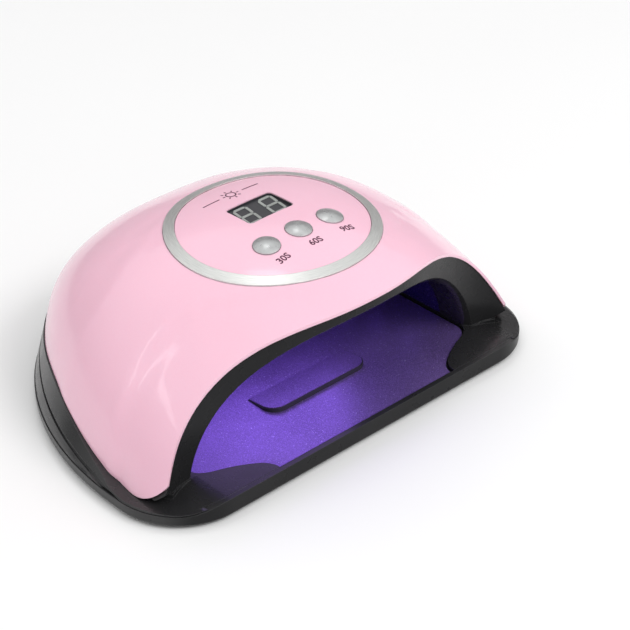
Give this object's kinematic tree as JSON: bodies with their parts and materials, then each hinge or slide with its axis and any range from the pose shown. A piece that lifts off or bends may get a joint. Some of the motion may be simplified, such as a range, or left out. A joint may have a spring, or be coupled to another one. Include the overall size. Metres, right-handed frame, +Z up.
{
  "type": "uv led nail lamp",
  "caption": "Domed nail curing lamp with a hand tunnel, a round control panel with display and push buttons, and a lift-off magnetic tray.",
  "frame": {"origin": "centre of the footprint, on the ground plane under the rubber feet", "axes": "+Z up; the hand tunnel opens towards -Y; +X is to the right of someone facing the opening"},
  "size_m": [0.222, 0.1686, 0.0829],
  "materials": {
    "shell_pink": "gloss",
    "panel_pink": "high gloss",
    "ring_silver": "satin",
    "button_silver": "pearled satin",
    "housing_black": "semi gloss",
    "tray_black": "semi gloss",
    "reflective_sheet": "fine sparkle",
    "liner_metallised": "vacuum metallised",
    "rest_black": "matte",
    "rubber_black": "matte",
    "steel_plain": "plain",
    "magnet_nickel": "nickel plated",
    "board_white": "white solder mask",
    "board_green": "solder mask",
    "lamp_clear": "clear resin",
    "sensor_dark": "dark filter",
    "display_dark": "semi gloss",
    "segment_grey": "matte",
    "component_black": "matte",
    "component_can": "plain",
    "connector_white": "matte",
    "cable_black": "matte"
  },
  "bodies": {
    "tray": {"base_tray": "tray_black", "rubber_feet": "rubber_black", "tray_strikers": "steel_plain", "floor_sheet": "reflective_sheet", "finger_rest": "rest_black", "finger_rest_foil": "reflective_sheet"},
    "lamp": {"top_cover": "shell_pink", "control_panel": "panel_pink", "control_ring": "ring_silver", "lower_housing": "housing_black", "reflector_liner": "liner_metallised", "housing_magnets": "magnet_nickel", "housing_screws": "steel_plain", "board_screws": "steel_plain", "led_board_1": "board_white", "led_board_2": "board_white", "led_board_3": "board_white", "led_board_4": "board_white", "led_beads": "lamp_clear", "led_bus_cable": "connector_white", "ir_sensor": "sensor_dark", "display_module": "display_dark", "display_segments": "segment_grey", "control_board": "board_green", "switch_bodies": "component_black", "control_chip": "component_black", "capacitors": "component_can", "power_inductor": "component_black", "board_connector": "connector_white", "dc_jack": "component_black", "dc_jack_pin": "steel_plain", "power_lead": "cable_black"},
    "button_30s": {"button_30s": "button_silver"},
    "button_60s": {"button_60s": "button_silver"},
    "button_90s": {"button_90s": "button_silver"},
    "plunger_30s": {"switch_plunger_30s": "component_can"},
    "plunger_60s": {"switch_plunger_60s": "component_can"},
    "plunger_90s": {"switch_plunger_90s": "component_can"}
  },
  "joints": [
    {"name": "lamp_lift", "type": "slide", "parent": "tray", "child": "lamp", "axis": [0, 0, 1], "range_m": [0, 0.06]},
    {"name": "button_30s_press", "type": "slide", "parent": "lamp", "child": "button_30s", "axis": [0.1109, 0.0956, -0.9892], "range_m": [0, 0.0005]},
    {"name": "button_60s_press", "type": "slide", "parent": "lamp", "child": "button_60s", "axis": [0, 0.086, -0.9963], "range_m": [0, 0.0005]},
    {"name": "button_90s_press", "type": "slide", "parent": "lamp", "child": "button_90s", "axis": [-0.1109, 0.0956, -0.9892], "range_m": [0, 0.0005]},
    {"name": "plunger_30s_press", "type": "slide", "parent": "lamp", "child": "plunger_30s", "axis": [0, 0, -1], "range_m": [0, 0.0005]},
    {"name": "plunger_60s_press", "type": "slide", "parent": "lamp", "child": "plunger_60s", "axis": [0, 0, -1], "range_m": [0, 0.0005]},
    {"name": "plunger_90s_press", "type": "slide", "parent": "lamp", "child": "plunger_90s", "axis": [0, 0, -1], "range_m": [0, 0.0005]}
  ],
  "couplings": [
    {"joint": "plunger_30s_press", "follows": "button_30s_press", "ratio": 1},
    {"joint": "plunger_60s_press", "follows": "button_60s_press", "ratio": 1},
    {"joint": "plunger_90s_press", "follows": "button_90s_press", "ratio": 1}
  ]
}
